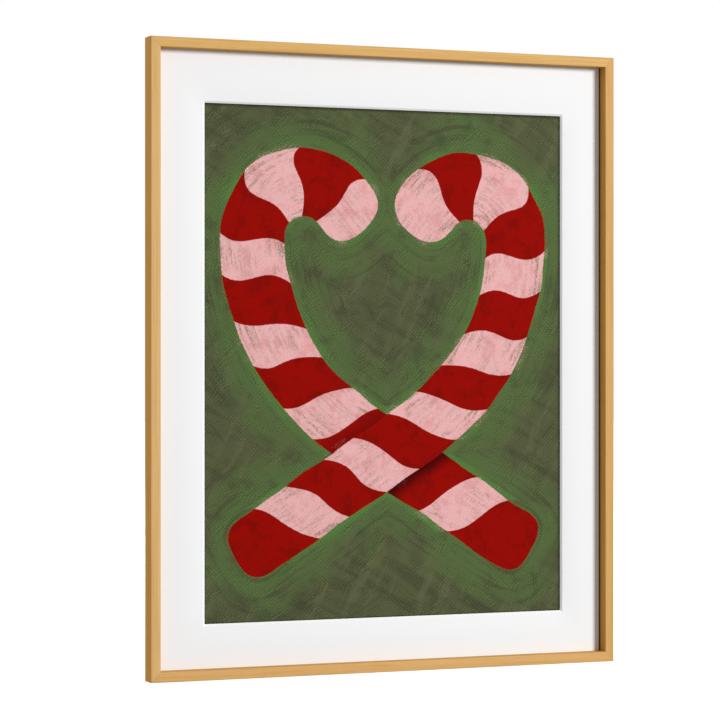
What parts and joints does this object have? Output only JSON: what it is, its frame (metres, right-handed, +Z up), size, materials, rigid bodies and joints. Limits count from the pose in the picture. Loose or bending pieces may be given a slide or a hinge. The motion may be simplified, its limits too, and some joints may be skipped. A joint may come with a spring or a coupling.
{
  "type": "framed print",
  "caption": "Upright slim wooden picture frame with a wide bevel-cut mat round a painted print of striped candy canes, and a board and serrated hanger at the back.",
  "frame": {"origin": "middle of the bottom rail's underside, which is the middle of the base", "axes": "+Z up the picture, -Y the way the picture faces, +Y the wall side, +X the right of someone who looks at the picture"},
  "size_m": [0.418, 0.0176, 0.52],
  "materials": {
    "oak": "honey-coloured straight grain, satin",
    "mat": "smooth white, matt",
    "print": "painted look on a canvas weave, matt",
    "board": "brown fibreboard, matt",
    "steel": "zinc plated"
  },
  "bodies": {
    "root": {"rail_left": "oak", "rail_bottom": "oak", "rail_right": "oak", "rail_top": "oak", "mat_board": "mat", "print_sheet": "print", "backing_board": "board", "tab_1": "steel", "tab_2": "steel", "tab_3": "steel", "tab_4": "steel", "tab_5": "steel", "tab_6": "steel", "tab_7": "steel", "tab_8": "steel", "tab_9": "steel", "tab_10": "steel", "hanger": "steel", "rivet_left": "steel", "rivet_right": "steel"}
  },
  "joints": []
}
